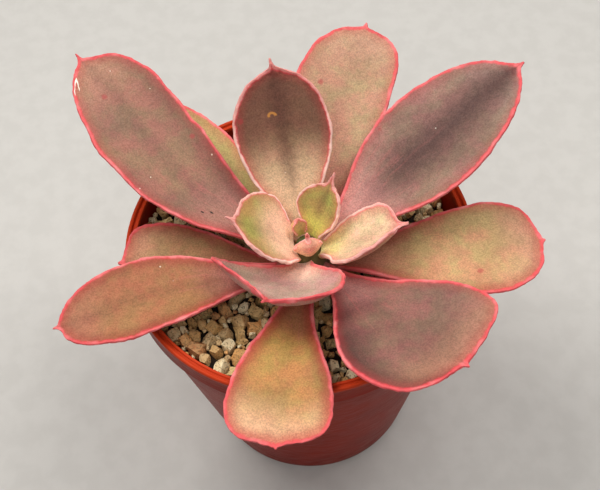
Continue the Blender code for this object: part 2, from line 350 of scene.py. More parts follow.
print(len(POT_RINGS), "rings")

# %% Raise the pot ring by ring
POT_SEGMENTS = 144


def raise_rings(name, rings, segments, centre=(0, 0)):
    """A solid of revolution: a disc extruded from ring to ring, closed by its two end faces."""
    radius, height = rings[0]
    select_only()
    bpy.ops.mesh.primitive_circle_add(vertices=segments, radius=radius * MM, fill_type="NGON",
                                      location=(centre[0], centre[1], height * MM))
    obj = bpy.context.object
    obj.name = name
    bpy.ops.object.transform_apply(location=True)
    with editing():
        for next_radius, next_height in rings[1:]:
            ratio = next_radius / radius
            lift = (0, 0, (next_height - height) * MM)
            bpy.ops.mesh.extrude_region_move(TRANSFORM_OT_translate={"value": lift})
            bpy.ops.transform.resize(value=(ratio, ratio, 1), center_override=(*centre, 0))
            radius, height = next_radius, next_height
        bpy.ops.mesh.select_all(action="SELECT")
        bpy.ops.mesh.normals_make_consistent(inside=False)
    return obj


pot = raise_rings("pot_shell", POT_RINGS, POT_SEGMENTS)
print("pot:", len(pot.data.vertices), "vertices")

# %% Bore the drain holes
DRAIN_HOLES = 8
DRAIN_RADIUS = 3 * MM
DRAIN_RING = 26 * MM
PLUG_DEPTH = 8 * MM
SMOOTH_BELOW = math.radians(50)


def ring_of_plugs():
    """One cutter made of upright plugs, turned round the axis in equal steps."""
    plugs = []
    for number in range(DRAIN_HOLES):
        turn = 2 * math.pi * number / DRAIN_HOLES
        select_only()
        bpy.ops.mesh.primitive_cylinder_add(
            vertices=32, radius=DRAIN_RADIUS, depth=PLUG_DEPTH,
            location=(DRAIN_RING * math.cos(turn), DRAIN_RING * math.sin(turn), FLOOR * MM / 2))
        plugs.append(bpy.context.object)
    for plug in plugs:
        plug.select_set(True)
    bpy.ops.object.join()
    return bpy.context.object


cutter = ring_of_plugs()
bore = pot.modifiers.new("drain", "BOOLEAN")
bore.operation = "DIFFERENCE"
bore.object = cutter
apply_modifiers(pot)
bpy.data.objects.remove(cutter)
select_only(pot)
bpy.ops.object.shade_smooth_by_angle(angle=SMOOTH_BELOW)
print("pot with holes:", len(pot.data.polygons), "faces")

# %% [markdown]
# ## Pot finish
# Terracotta-coloured polypropylene is a satin plastic: a deep orange red, with marks of use. Its thin lip is
# painted a brighter orange, a painted glow for light that shines through it. Water leaves a pale bloom of lime
# near the foot and under the lip, and handling leaves fine scuffs round the pot.
# The scuffs are a noise stretched round the axis. The bloom is driven by height, which the Object
# coordinates give directly.

# %% Satin terracotta plastic
PLASTIC_DEEP = (0.2, 0.009, 0.002, 1)
PLASTIC_WARM = (0.26, 0.014, 0.004, 1)
PLASTIC_SPECK = (0.45, 0.05, 0.015, 1)
PAINTED_LIP_GLOW = (0.5, 0.045, 0.012, 1)
LIME_BLOOM = (0.68, 0.26, 0.16, 1)
BLOOM_FADE = 0.015


def build_pot_finish():
    material, tree, shader = new_material("terracotta_plastic")
    _, grain, bumps = gritty(tree, 0.9, 0.6)
    point = object_point(tree)
    height = place(tree, "SeparateXYZ", {0: point}).outputs["Z"]
    squeezed = place(tree, "Mapping", {"Vector": point, "Scale": (1, 1, 9)})
    scuffs = noise(tree, squeezed.outputs[0], 160, 4, 0.6, 0.4)
    cloudy = noise(tree, point, 55, 3, 0.6)
    body = blend(tree, ramp(tree, cloudy, 0.3, 0.7), PLASTIC_DEEP, PLASTIC_WARM)
    body = blend(tree, ramp(tree, grain, 0.35, 0.75, 0, 0.12), body, PLASTIC_SPECK)
    # Painted glow: the top of the lip is painted brighter orange, standing in for light shining through the
    # thin plastic.
    painted_lip_glow = ramp(tree, height, (TOP - 2.6) * MM, (TOP - 0.6) * MM)
    body = blend(tree, painted_lip_glow, body, PAINTED_LIP_GLOW)
    near_foot = ramp(tree, height, BLOOM_FADE, 0.0)
    near_rim = ramp(tree, height, (TOP - 7) * MM, TOP * MM, 0, 0.4)
    bloom_place = calc(tree, "MAXIMUM", near_foot, near_rim)
    bloom = times(tree, bloom_place, ramp(tree, scuffs, 0.5, 0.72))
    body = blend(tree, times(tree, bloom, 0.1), body, LIME_BLOOM)
    dull = plus(tree, ramp(tree, scuffs, 0.3, 0.7, 0.3, 0.46), times(tree, bloom, 0.25))
    dress(tree, shader, body, dull, plus(tree, scuffs, bumps), 0.05)
    shader.inputs["Specular IOR Level"].default_value = 0.05
    return material


hand_over(pot, build_pot_finish(), "pot")

# %% [markdown]
# ## Soil under the gravel
# Between the gravel one looks down on dark, damp potting mix. It has to be there, or the gaps would show the
# pot's floor. The packed gravel solid has the right outline and slope, so its copy is welded, its top is
# pressed down by about one layer of grains, and a Displace modifier crumbles it.
# The potting mix itself shows only through the drain holes, so the frame's own solid stays and only gets
# the soil finish.

# %% Soil bed
SOIL_BLACK = (0.016, 0.009, 0.005, 1)
SOIL_BROWN = (0.045, 0.026, 0.013, 1)
CRUMB_TAN = (0.2, 0.12, 0.055, 1)
BED_DROP = 3.6 * MM
BED_TOP_DEPTH = 12 * MM
EVEN_EDGE = 1.5 * MM
CRUMB = 1.6


def build_bed():
    """The gravel's copy, lowered by a layer of grains and crumbled, except for an even strip at the wall."""
    bed = merged_copy("gravel", "soil_bed")
    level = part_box("gravel")[1].z - BED_TOP_DEPTH
    with editing(None):
        bpy.ops.mesh.select_mode(type="VERT")
    for vertex in bed.data.vertices:
        vertex.select = vertex.co.z > level
    with editing(None):
        bpy.ops.transform.translate(value=(0, 0, -BED_DROP))
        bpy.ops.mesh.subdivide(number_cuts=2)
    crumbly = [v.index for v in bed.data.vertices
               if v.co.z > level - BED_DROP and math.hypot(v.co.x, v.co.y) < BED_RADIUS - EVEN_EDGE]
    bed.vertex_groups.new(name="top").add(crumbly, 1, "REPLACE")
    add_clouds(bed, "crumbs", CRUMB, 3, CRUMB, "Z", "top")
    apply_modifiers(bed)
    return bed


def build_soil_finish():
    """Nearly black mix in two shades, with paler crumbs."""
    material, tree, shader = new_material("damp_potting_mix")
    patches, grain, bumps = gritty(tree, 1.1, 1.0)
    dark = blend(tree, patches, SOIL_BLACK, SOIL_BROWN)
    dark = blend(tree, ramp(tree, grain, 0.66, 0.8), dark, CRUMB_TAN)
    dress(tree, shader, dark, ramp(tree, grain, 0.3, 0.7, 0.95, 0.75), bumps, 0.6)
    return material


SOIL = build_soil_finish()
bed = build_bed()
hand_over(bed, SOIL, "gravel")
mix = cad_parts["potting_mix"]
mix.data.materials.clear()
mix.data.materials.append(SOIL)

# %% [markdown]
# ## Gravel, one grain at a time
# The top dressing is crushed pumice and flakes of vermiculite, 2 to 6 mm across. Grains cast the small hard
# shadows that make gravel look like gravel, which no bump map gives, so each grain is a mesh.
# Only a few shapes are modelled, each with a few dozen faces: a subdivided cube is rounded and shaken into a
# chip, and another is cut into layers that are pinched in turn, as a flake is. Hundreds of copies are then
# turned and scaled differently, which hides that they repeat.

# %% Model the chips and the flakes
CHIP_EDGE = math.radians(42)
FLAKE_SHAKE = 0.16
WIDE_SEAM = 1.04


def grain_cube(name):
    """A cube 2 mm across at the origin, so that scaling by a radius in millimetres makes a grain."""
    select_only()
    bpy.ops.mesh.primitive_cube_add(size=2 * MM)
    bpy.context.object.name = name
    return bpy.context.object


def shake(reach, seed):
    bpy.ops.transform.vertex_random(offset=reach * MM, uniform=1.0, normal=0.0, seed=seed)


def shaken_chip(name, scale, reach, seed):
    """A cube subdivided once, rounded, scaled and shaken."""
    chip = grain_cube(name)
    with editing():
        bpy.ops.mesh.subdivide(number_cuts=1)
        bpy.ops.mesh.vertices_smooth(factor=0.8, repeat=1)
        bpy.ops.transform.resize(value=scale)
        shake(reach, seed)
    bpy.ops.object.shade_smooth_by_angle(angle=CHIP_EDGE)
    return chip


def layered_flake(name, scale, layers, pinch, seed):
    """A cube cut into layers by planes. Every second seam is pinched in, like the pages of a warped book."""
    flake = grain_cube(name)
    with editing():
        for number in range(1, layers):
            bpy.ops.mesh.select_all(action="SELECT")
            level = (2 * number / layers - 1) * MM
            bpy.ops.mesh.bisect(plane_co=(0, 0, level), plane_no=(0, 0, 1))
            squeeze = pinch if number % 2 else WIDE_SEAM
            bpy.ops.transform.resize(value=(squeeze, squeeze, 1))
        bpy.ops.mesh.select_all(action="SELECT")
        shake(FLAKE_SHAKE, seed)
        bpy.ops.transform.resize(value=scale)
        bpy.ops.mesh.normals_make_consistent(inside=False)
    bpy.ops.object.shade_flat()
    return flake


CHIPS = [
    shaken_chip("chip_blocky", (1.0, 0.95, 0.85), 0.3, 3),
    shaken_chip("chip_long", (1.35, 0.8, 0.75), 0.28, 8),
    shaken_chip("chip_flat", (1.15, 1.05, 0.6), 0.26, 14),
    shaken_chip("chip_sharp", (1.0, 1.1, 0.9), 0.42, 21),
    shaken_chip("chip_round", (0.95, 0.95, 0.9), 0.16, 27),
]
FLAKES = [
    layered_flake("flake_thick", (1.1, 0.75, 0.8), 7, 0.86, 5),
    layered_flake("flake_long", (0.7, 0.65, 1.35), 9, 0.84, 11),
]
print([len(shape.data.polygons) for shape in CHIPS + FLAKES], "faces each")

# %% [markdown]
# ## Scatter the grains
# In poured gravel the small grains fill the gaps between the big ones. The scatter works the same way: it
# throws grains at the bed in falling sizes and keeps one only where it has room.
# Each grain lies on the packed gravel's surface, which a ray cast down finds, and is pushed down or left out
# where a leaf is close above.

# %% Where the grains lie
GRAIN_SIZES = [(2.4, 30), (1.95, 120), (1.6, 260), (1.3, 420), (1.0, 600), (0.7, 700)]
DARTS_PER_GRAIN = 9
CROWDING = 0.93
SEARCH_CELL = 5.4 * MM
WISHED_GAP = 1.25
LEAST_GAP = 1.1
draw = random.Random(41)


def node_tree_of(names):
    """One search tree over the meshes of several nodes."""
    points, faces = [], []
    for name in names:
        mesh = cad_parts[name].data
        first = len(points)
        points += [v.co.copy() for v in mesh.vertices]
        faces += [[first + i for i in face.vertices] for face in mesh.polygons]
    return BVHTree.FromPolygons(points, faces)


LEAF_TREE = node_tree_of(LEAF_NODES)
GRAVEL_TREE = node_tree_of(["gravel"])


def scatter():
    """Places for the grains: (point, radius), larger grains first. A grid of cells finds the neighbours."""
    kept = []
    grid = {}
    for size, wanted in GRAIN_SIZES:
        for _ in range(wanted * DARTS_PER_GRAIN):
            radius = size * MM * draw.uniform(0.88, 1.12)
            turn = draw.uniform(0, 2 * math.pi)
            out = math.sqrt(draw.random()) * (BED_RADIUS - radius * 0.9)
            x, y = out * math.cos(turn), out * math.sin(turn)
            if math.hypot(x - STEM_AXIS.x, y - STEM_AXIS.y) < STEM_RADIUS + radius:
                continue
            column, row = int(x // SEARCH_CELL), int(y // SEARCH_CELL)
            near = [g for i in (-1, 0, 1) for j in (-1, 0, 1) for g in grid.get((column + i, row + j), [])]
            if any(math.hypot(x - p.x, y - p.y) < (radius + r) * CROWDING for p, r in near):
                continue
            ground = GRAVEL_TREE.ray_cast(Vector((x, y, 1)), Vector((0, 0, -1)))[0]
            if ground is None:
                continue
            point = Vector((x, y, ground.z - radius * draw.uniform(0.35, 0.75)))
            gap = LEAF_TREE.find_nearest(point)[3]
            if gap < radius * WISHED_GAP:
                point.z -= radius * WISHED_GAP - gap
                if LEAF_TREE.find_nearest(point)[3] < radius * LEAST_GAP:
                    continue
            kept.append((point, radius))
            grid.setdefault((column, row), []).append((point, radius))
    return kept


grains = scatter()
print(len(grains), "grains")

# %% Lay the copies and join them by kind
SMALLEST_FLAKE = 1.3 * MM
FLAKE_SHARE = 0.16
OCHRE_SHARE = 0.14


def lay(shape, point, radius):
    """A copy with a mesh of its own, turned at random, with its own shade of the finish."""
    mesh = shape.data.copy()
    turn = Euler([draw.uniform(0, 2 * math.pi) for _ in range(3)]).to_matrix().to_4x4()
    mesh.transform(Matrix.Translation(point) @ turn @ Matrix.Scale(radius / MM, 4))
    tint = mesh.attributes.new("tint", "FLOAT", "POINT")
    tint.data.foreach_set("value", [draw.random()] * len(mesh.vertices))
    return new_object("grain", mesh)


def lay_grains():
    """Sorts the grains into kinds, lays a shape's copy at each place and joins each kind into one piece."""
    kinds = {"pumice_chips": [], "ochre_chips": [], "vermiculite_flakes": []}
    for point, radius in grains:
        lot = draw.random()
        if radius > SMALLEST_FLAKE and lot < FLAKE_SHARE:
            kinds["vermiculite_flakes"].append(lay(draw.choice(FLAKES), point, radius * 0.95))
        else:
            kind = "ochre_chips" if lot > 1 - OCHRE_SHARE else "pumice_chips"
            kinds[kind].append(lay(draw.choice(CHIPS), point, radius))
    pieces = {}
    for name, copies in kinds.items():
        select_only(*copies)
        bpy.ops.object.join()
        pieces[name] = bpy.context.object
        pieces[name].name = name
        print(name, len(copies), "grains")
    for shape in CHIPS + FLAKES:
        bpy.data.objects.remove(shape)
    return pieces


GRAVEL = lay_grains()

# %% [markdown]
# ## Gravel finishes
# Pumice is a pale volcanic froth, cream to straw yellow, chalky and full of tiny pits. Some grains are
# stained ochre, and vermiculite is a golden brown mica with fine parallel layers. A number stored on each
# grain picks its shade between two colours, and the grit group adds stains and pits.

# %% Chalky stone in three colours
PIT_BROWN = (0.14, 0.08, 0.035, 1)


def build_stone(name, pale, deep, stain):
    """Stone between two colours, with stained patches and dark pits."""
    material, tree, shader = new_material(name)
    patches, grain, bumps = gritty(tree, 0.7, 1.6)
    shade = blend(tree, ramp(tree, read(tree, "tint"), 0.1, 0.9), (*deep, 1), (*pale, 1))
    shade = blend(tree, times(tree, patches, 0.4), shade, (*stain, 1))
    pits = ramp(tree, grain, 0.48, 0.26, 0, 0.75)
    shade = blend(tree, pits, shade, PIT_BROWN)
    dress(tree, shader, shade, ramp(tree, grain, 0.3, 0.7, 0.8, 0.5), bumps, 0.5)
    return material


STONES = {
    "pumice_chips": build_stone("pumice", (1.0, 0.9, 0.6), (0.62, 0.38, 0.15), (0.6, 0.33, 0.1)),
    "ochre_chips": build_stone("ochre_pumice", (0.85, 0.45, 0.15), (0.5, 0.2, 0.07), (0.85, 0.58, 0.27)),
    "vermiculite_flakes": build_stone("vermiculite", (0.92, 0.72, 0.36), (0.6, 0.38, 0.14), (0.5, 0.28, 0.1)),
}
for name, piece in GRAVEL.items():
    hand_over(piece, STONES[name], "gravel")

# %% [markdown]
# ## The stem
# A rosette's stem is short and corky. It carries a ring-shaped scar for every leaf that has dropped, and it
# turns green and soft towards the growing point. It is raised in rings like the pot, with a narrow and a wide
# ring for each scar, and then roughened by a Displace modifier.

# %% Raise and roughen the stem
STEM_SWELL = 0.7
SCARS = 5
SCAR_EDGE = 0.45
ROOT_BELOW_GRAVEL = 4
DOME_STARTS = 0.8
DOME_SHARES = (0.0, 0.18, 0.36, 0.54, 0.7, 0.84, 0.94)


def stem_rings():
    """Rings from the root to the growing point, in millimetres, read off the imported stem's own outline."""
    points = corners(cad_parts["stem"].data)
    heights = points[:, 2] / MM
    radii = np.hypot(points[:, 0] - STEM_AXIS.x, points[:, 1] - STEM_AXIS.y) / MM
    foot, tip = float(heights.min()), float(heights.max())
    crown = float(heights[radii > STEM_RADIUS / MM - 0.05].max())
    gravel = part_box("gravel")[1].z / MM - ROOT_BELOW_GRAVEL
    full = STEM_RADIUS / MM
    rings = [(full * 0.4, foot), (full * 0.66, foot + 1), (full * 0.98, foot + 6), (full, gravel)]
    for number in range(SCARS):
        low = gravel + (crown - gravel) * (number + 0.35) / SCARS
        rings += [(full + STEM_SWELL, low), (full + 0.25, low + SCAR_EDGE)]
    for share in DOME_SHARES:
        level = crown + DOME_STARTS + (tip - crown - DOME_STARTS) * share
        near = radii[np.abs(heights - level) < 1.3]
        if len(near):
            rings.append((max(float(near.max()), 1.0) + STEM_SWELL * (1 - share), level))
    return rings + [(0.5, tip)]


def build_stem():
    stem = raise_rings("stem_and_growing_point", stem_rings(), 40, (STEM_AXIS.x, STEM_AXIS.y))
    soften = stem.modifiers.new("soften", "SUBSURF")
    soften.levels = soften.render_levels = 2
    add_clouds(stem, "bark", 2.2, 4, 0.5)
    apply_modifiers(stem)
    bpy.ops.object.shade_smooth()
    return stem


CORK_BROWN = (0.2, 0.1, 0.055, 1)
CORK_PALE = (0.33, 0.19, 0.11, 1)
FRESH_OLIVE = (0.16, 0.12, 0.04, 1)
TIP_GREEN_IN_PAINTED_SHADE = (0.045, 0.06, 0.012, 1)
CRACK_BROWN = (0.08, 0.04, 0.02, 1)


def build_stem_finish():
    """Cork below, which turns olive above the rim and green at the growing point, painted nearly black there as
    shade.
    """
    material, tree, shader = new_material("corky_stem")
    patches, grain, bumps = gritty(tree, 0.9, 1.0)
    height = place(tree, "SeparateXYZ", {0: object_point(tree)}).outputs["Z"]
    fresh = ramp(tree, height, POT_TOP - 2 * MM, POT_TOP + 5 * MM)
    skin = blend(tree, fresh, blend(tree, patches, CORK_BROWN, CORK_PALE), FRESH_OLIVE)
    # Painted shade: the growing point is painted a very dark green, standing in for the shade deep in the
    # rosette's centre.
    skin = blend(tree, ramp(tree, height, POT_TOP + 4 * MM, POT_TOP + 9 * MM), skin, TIP_GREEN_IN_PAINTED_SHADE)
    skin = blend(tree, ramp(tree, grain, 0.4, 0.2, 0, 0.5), skin, CRACK_BROWN)
    dress(tree, shader, skin, ramp(tree, fresh, 0, 1, 0.85, 0.5), bumps, 0.3)
    return material


stem = build_stem()
hand_over(stem, build_stem_finish(), "stem")

# %% [markdown]
# ## Leaves: from the imported sheet to living flesh
# A leaf is a thick, waxy spoon with a thin, slightly wavy margin and a sharp point. The imported leaves already
# have the right length, curve and cup, but a coarse grid. Sculpting each one by hand would lose that fit.
# Instead each is copied and welded, its sharp margin is found and creased so that it keeps its width, and a
# Subdivision Surface gives it a fine skin. Two Displace modifiers that act only near the margin then make it
# undulate, in shorter waves on the young inner leaves, as growth does.

# %% Weld, crease and subdivide
MARGIN_ANGLE = math.radians(48)
MARGIN_CREASE = 0.42
MARGIN_STEP = 0.5 * MM
LEAF_LEVELS = 3


def fine_leaf(node):
    """A smooth, finely divided copy of a leaf node, and points along its sharp margin."""
    leaf = merged_copy(node, node.replace("_leaf", "_blade"))
    with editing(None):
        bpy.ops.mesh.select_mode(type="EDGE")
        bpy.ops.mesh.edges_select_sharp(sharpness=MARGIN_ANGLE)
        bpy.ops.transform.edge_crease(value=MARGIN_CREASE)
    mesh = leaf.data
    margin = []
    for edge in mesh.edges:
        if edge.select:
            first, last = (mesh.vertices[i].co for i in edge.vertices)
            steps = max(1, int((last - first).length / MARGIN_STEP))
            margin += [first.lerp(last, i / steps) for i in range(steps + 1)]
    skin = leaf.modifiers.new("skin", "SUBSURF")
    skin.levels = skin.render_levels = LEAF_LEVELS if len(mesh.vertices) > 100 else 2
    apply_modifiers(leaf)
    bpy.ops.object.shade_smooth()
    return leaf, margin


# %% [markdown]
# ## Numbers on the skin
# A leaf's colour follows its anatomy: coral at the margin, a blush beside it, streaks that run along the
# veins, a paler base. None of that follows X, Y and Z. So every vertex gets four numbers: how far it is from
# the margin, how far along the leaf it lies, how far across, and whether it is on the upper side or under it.
# Across is the share between the distances to the left and the right margin, which is zero on the midrib.
# A cupped leaf's upper side does not always face up, so it is found by walking over the skin from the middle
# of the leaf without crossing the margin.

# %% Measure along, across and from the margin
FULL_BLADE = 14.0
MARGIN_BAND = 0.3
BASE_BAND = 0.08


def store(mesh, name, values):
    attribute = mesh.attributes.new(name, "FLOAT", "POINT")
    attribute.data.foreach_set("value", np.asarray(values, np.float32))


def tree_over(points):
    found = KDTree(len(points))
    for index, point in enumerate(points):
        found.insert(point, index)
    found.balance()
    return found


def leaf_axes(mesh):
    """The leaf's base, its tip, and unit vectors ahead, sideways and up."""
    points = corners(mesh)
    away = np.hypot(points[:, 0] - STEM_AXIS.x, points[:, 1] - STEM_AXIS.y)
    near = points[away < np.sort(away)[max(8, len(points) // 100)]]
    base = Vector(near.mean(0))
    reach = np.linalg.norm(points - np.array(base), axis=1)
    tip = Vector(points[reach.argmax()])
    ahead = (tip - base).normalized()
    side = Vector((0, 0, 1)).cross(ahead).normalized()
    return base, tip, ahead, side, ahead.cross(side)


def upper_skin(mesh, found, up):
    """The vertices that can be reached from the upper side's middle, and which vertices bar the way."""
    barred = [d < MARGIN_BAND or a < BASE_BAND for d, a in zip(found["margin"], found["along"])]
    neighbours = [[] for _ in mesh.vertices]
    for edge in mesh.edges:
        first, last = edge.vertices
        neighbours[first].append(last)
        neighbours[last].append(first)
    middle = [index for index, along in enumerate(found["along"])
              if 0.4 < along < 0.6 and abs(found["across"][index]) < 0.2 and not barred[index]]
    start = max(middle, key=lambda index: mesh.vertices[index].normal.dot(up))
    reached, front = {start}, [start]
    while front:
        for other in neighbours[front.pop()]:
            if other not in reached and not barred[other]:
                reached.add(other)
                front.append(other)
    return reached, barred


def write_numbers(leaf, margin):
    """Stores margin, along (0 to 1), across (-1 to 1) and under (0 or 1) on the leaf's vertices.

    The margin is in millimetres, stretched on the smallest leaves so that their coral rim is finer.
    """
    mesh = leaf.data
    base, tip, ahead, side, up = leaf_axes(mesh)
    length = (tip - base).length
    surface = BVHTree.FromPolygons([v.co for v in mesh.vertices], [face.vertices for face in mesh.polygons])
    sides = {1: [], -1: []}
    for point in margin:
        offset = point - base
        if offset.dot(ahead) > 0.05 * length:
            sides[1 if offset.dot(side) > 0 else -1].append(surface.find_nearest(point)[0])
    left, right = tree_over(sides[1]), tree_over(sides[-1])
    found = {"margin": [], "along": [], "across": [], "under": []}
    for vertex in mesh.vertices:
        to_left, to_right = left.find(vertex.co)[2], right.find(vertex.co)[2]
        found["margin"].append(min(to_left, to_right) / MM)
        found["along"].append(min(1, (vertex.co - base).length / length))
        found["across"].append((to_right - to_left) / (to_left + to_right + 1e-9))
    upper, barred = upper_skin(mesh, found, up)
    for vertex in mesh.vertices:
        above = vertex.index in upper or (barred[vertex.index] and vertex.normal.dot(up) > 0)
        found["under"].append(0.0 if above else 1.0)
    finer = max(1.0, (FULL_BLADE / max(found["margin"])) ** 0.5)
    found["margin"] = [distance * finer for distance in found["margin"]]
    for name, values in found.items():
        store(mesh, name, values)
    return found


# %% Wave the margin
MARGIN_BEADS = (0.5, 1.7)
WAVE_STARTS, WAVE_GROWS = 0.12, 0.3


def wave(leaf, found, amount, size):
    """Moves the skin near the margin in long waves and small beads. The amount and the size are in mm."""
    group = leaf.vertex_groups.new(name="margin")
    for index, distance in enumerate(found["margin"]):
        inside = max(0.0, 1 - distance / (size * 0.8))
        fade = min(1.0, max(0.0, (found["along"][index] - WAVE_STARTS) / WAVE_GROWS))
        weight = inside**1.3 * fade
        if weight > 0.01:
            group.add([index], weight, "REPLACE")
    for reach, scale in ((amount, size), MARGIN_BEADS):
        add_clouds(leaf, "ripple", scale, 1, reach, "RGB_TO_XYZ", "margin").cloud_type = "COLOR"
    apply_modifiers(leaf)
    leaf.vertex_groups.clear()


# %% [markdown]
# ## Leaf skin, a shared effect
# All the leaves share one skin and differ only in colour, so the skin is a node group. It lays the colours
# over each other as they lie in the leaf: the flesh with its mottling and its warm and olive casts, the base
# and tip tints, the darker midrib, pink streaks along the veins, and painted shade on the right side.
# Then come the underside's own colour, waxy grain, red freckles and pale specks. Last are a brown painted shade
# and the blush near the edge, and the coral margin, which is blotched and has a pale crest. The rim's pale
# blotches and crest are partly the margin's own colour and partly painted highlight.

# %% The leaf skin group
SKIN_INPUTS = {
    "Flesh": (0.4, 0.22, 0.14, 1), "Shade": (0.25, 0.12, 0.08, 1), "Base": (0.5, 0.25, 0.2, 1),
    "Tip": (0.5, 0.28, 0.2, 1), "Under": (0.4, 0.16, 0.14, 1), "Rim": (0.74, 0.05, 0.07, 1),
    "Crest": (0.95, 0.42, 0.4, 1), "Base reach": 0.45, "Tip reach": 0.75, "Midrib": 0.3,
    "Rib width": 0.42, "Streaks": 0.4, "Blush": 0.18, "Edge shade": 0.3, "Pale rim": 0.25,
    "Dim right": 0.0, "Freckles": 0.6, "Shift": 0.0,
}
RIM_WIDTH = 0.88
RIB_DIM = (0.5, 0.42, 0.42, 1)
STREAK_PINK = (0.62, 0.17, 0.16, 1)
PAINTED_SHADE_MAUVE = (0.36, 0.29, 0.31, 1)
PAINTED_EDGE_SHADE = (0.62, 0.45, 0.42, 1)
RIM_DEEP = (0.5, 0.03, 0.045, 1)
RIM_PALE_AND_HIGHLIGHT = (0.86, 0.22, 0.23, 1)
WARM_CAST = (1.1, 0.9, 0.94, 1)
OLIVE_CAST = (0.92, 1.06, 0.9, 1)
FRECKLE_RED = (0.42, 0.05, 0.055, 1)
SPECK_WHITE = (0.9, 0.8, 0.66, 1)
NOISE_START = (0.13, 0.07, 0.19)


def build_skin():
    net, given, result = new_group("leaf_skin", SKIN_INPUTS, ["Colour", "Roughness", "Height"])
    along, across = read(net, "along"), read(net, "across")
    margin, under = read(net, "margin"), read(net, "under")
    point = object_point(net)
    spot = place(net, "VectorMath", {0: point, 1: NOISE_START}, operation="ADD").outputs[0]
    mottle = noise(net, spot, 60, 3, 0.5, 0.4)
    patches = noise(net, spot, 420, 3, 0.6)
    grain = noise(net, spot, 2100, 2, 0.7)

    colour = blend(net, ramp(net, mottle, 0.36, 0.74, 0, 0.7), given["Flesh"], given["Shade"])
    cast = blend(net, ramp(net, noise(net, spot, 130, 3, 0.6), 0.35, 0.65), WARM_CAST, OLIVE_CAST)
    colour = tinted(net, colour, cast)
    near_base = minus(net, 1.0, calc(net, "DIVIDE", along, given["Base reach"]))
    near_base = plus(net, calc(net, "MAXIMUM", near_base, 0.0), times(net, mottle, 0.25))
    colour = blend(net, ramp(net, near_base, 0.1, 0.75, 0, 0.85), colour, given["Base"])
    near_tip = plus(net, minus(net, along, given["Tip reach"]), times(net, mottle, 0.12))
    colour = blend(net, ramp(net, near_tip, 0.03, 0.3, 0, 0.8), colour, given["Tip"])

    off_rib = plus(net, calc(net, "ABSOLUTE", across), times(net, patches, 0.18))
    rib = times(net, ramp(net, off_rib, given["Rib width"], 0.06), ramp(net, along, 0.1, 0.5))
    colour = blend(net, times(net, rib, given["Midrib"]), colour, tinted(net, given["Shade"], RIB_DIM))

    vein_point = place(net, "CombineXYZ", {0: times(net, along, 2.2), 1: times(net, across, 5.0),
                                             2: given["Shift"]})
    veins = noise(net, vein_point.outputs[0], 2.0, 3, 0.6, 0.6)
    streak = times(net, ramp(net, veins, 0.5, 0.75), ramp(net, along, 0.75, 0.12))
    colour = blend(net, times(net, streak, given["Streaks"]), colour, STREAK_PINK)

    # Painted shade: the right side of a leaf is darkened towards mauve, where it curves away from the light and
    # where a neighbour's shadow falls on it.
    painted_side_shade = times(net, ramp(net, across, -0.25, -0.95), given["Dim right"])
    colour = blend(net, painted_side_shade, colour, tinted(net, colour, PAINTED_SHADE_MAUVE))
    colour = blend(net, times(net, under, 0.88), colour, given["Under"])
    light = plus(net, times(net, grain, 0.75), times(net, patches, 0.25))
    light = ramp(net, light, 0.32, 0.68, 0.76, 1.22)
    grey = place(net, "CombineColor", {0: light, 1: light, 2: light}).outputs[0]
    colour = tinted(net, colour, grey)

    cells = place(net, "TexVoronoi", {"Vector": spot, "Scale": 120.0, "Randomness": 1.0})
    chance = place(net, "SeparateColor", {0: cells.outputs["Color"]}).outputs[0]
    wobble = plus(net, cells.outputs["Distance"], times(net, grain, 0.08))
    freckle = times(net, ramp(net, wobble, 0.2, 0.1), ramp(net, chance, 0.78, 0.86))
    colour = blend(net, times(net, freckle, given["Freckles"]), colour, FRECKLE_RED)
    dots = place(net, "TexVoronoi", {"Vector": spot, "Scale": 210.0, "Randomness": 1.0})
    pick = place(net, "SeparateColor", {0: dots.outputs["Color"]}).outputs[1]
    speck = times(net, ramp(net, dots.outputs["Distance"], 0.075, 0.045), ramp(net, pick, 0.86, 0.9))
    colour = blend(net, times(net, speck, 0.8), colour, SPECK_WHITE)

    ragged = plus(net, margin, times(net, minus(net, patches, 0.5), 1.1))
    # Painted shade: a brown darkening in a band a few millimetres inside the margin.
    painted_edge_shade = times(net, ramp(net, ragged, 5.5, 1.0), given["Edge shade"])
    colour = blend(net, painted_edge_shade, colour, tinted(net, colour, PAINTED_EDGE_SHADE))
    blush = times(net, ramp(net, ragged, 4.2, 0.8), given["Blush"])
    colour = blend(net, blush, colour, given["Rim"])
    edge = blend(net, ramp(net, patches, 0.4, 0.7, 0, 0.6), given["Rim"], RIM_DEEP)
    # Pale patches on the coral rim: partly the rim's own paler colour, partly painted highlight where a glossy
    # rim catches light.
    edge = blend(net, ramp(net, noise(net, spot, 190, 2, 0.5), 0.45, 0.7, 0, 0.75), edge, RIM_PALE_AND_HIGHLIGHT)
    rim = ramp(net, ragged, RIM_WIDTH + 0.5, RIM_WIDTH - 0.4, 0, 0.9)
    colour = blend(net, rim, colour, edge)
    # The pale crest along the margin is partly the young leaves' own pale edge and partly painted highlight.
    crest_and_highlight = times(net, ramp(net, ragged, 0.9, 0.35), given["Pale rim"])
    crest_and_highlight = times(net, crest_and_highlight, ramp(net, along, 0.95, 0.5, 0.4, 1.0))
    colour = blend(net, crest_and_highlight, colour, given["Crest"])

    net.links.new(colour, result["Colour"])
    net.links.new(ramp(net, grain, 0.25, 0.75, 0.66, 0.5), result["Roughness"])
    relief = plus(net, grain, times(net, patches, 1.2))
    net.links.new(plus(net, relief, times(net, speck, 0.8)), result["Height"])
    return net


SKIN = build_skin()
print("leaf skin group:", len(SKIN.nodes), "nodes")

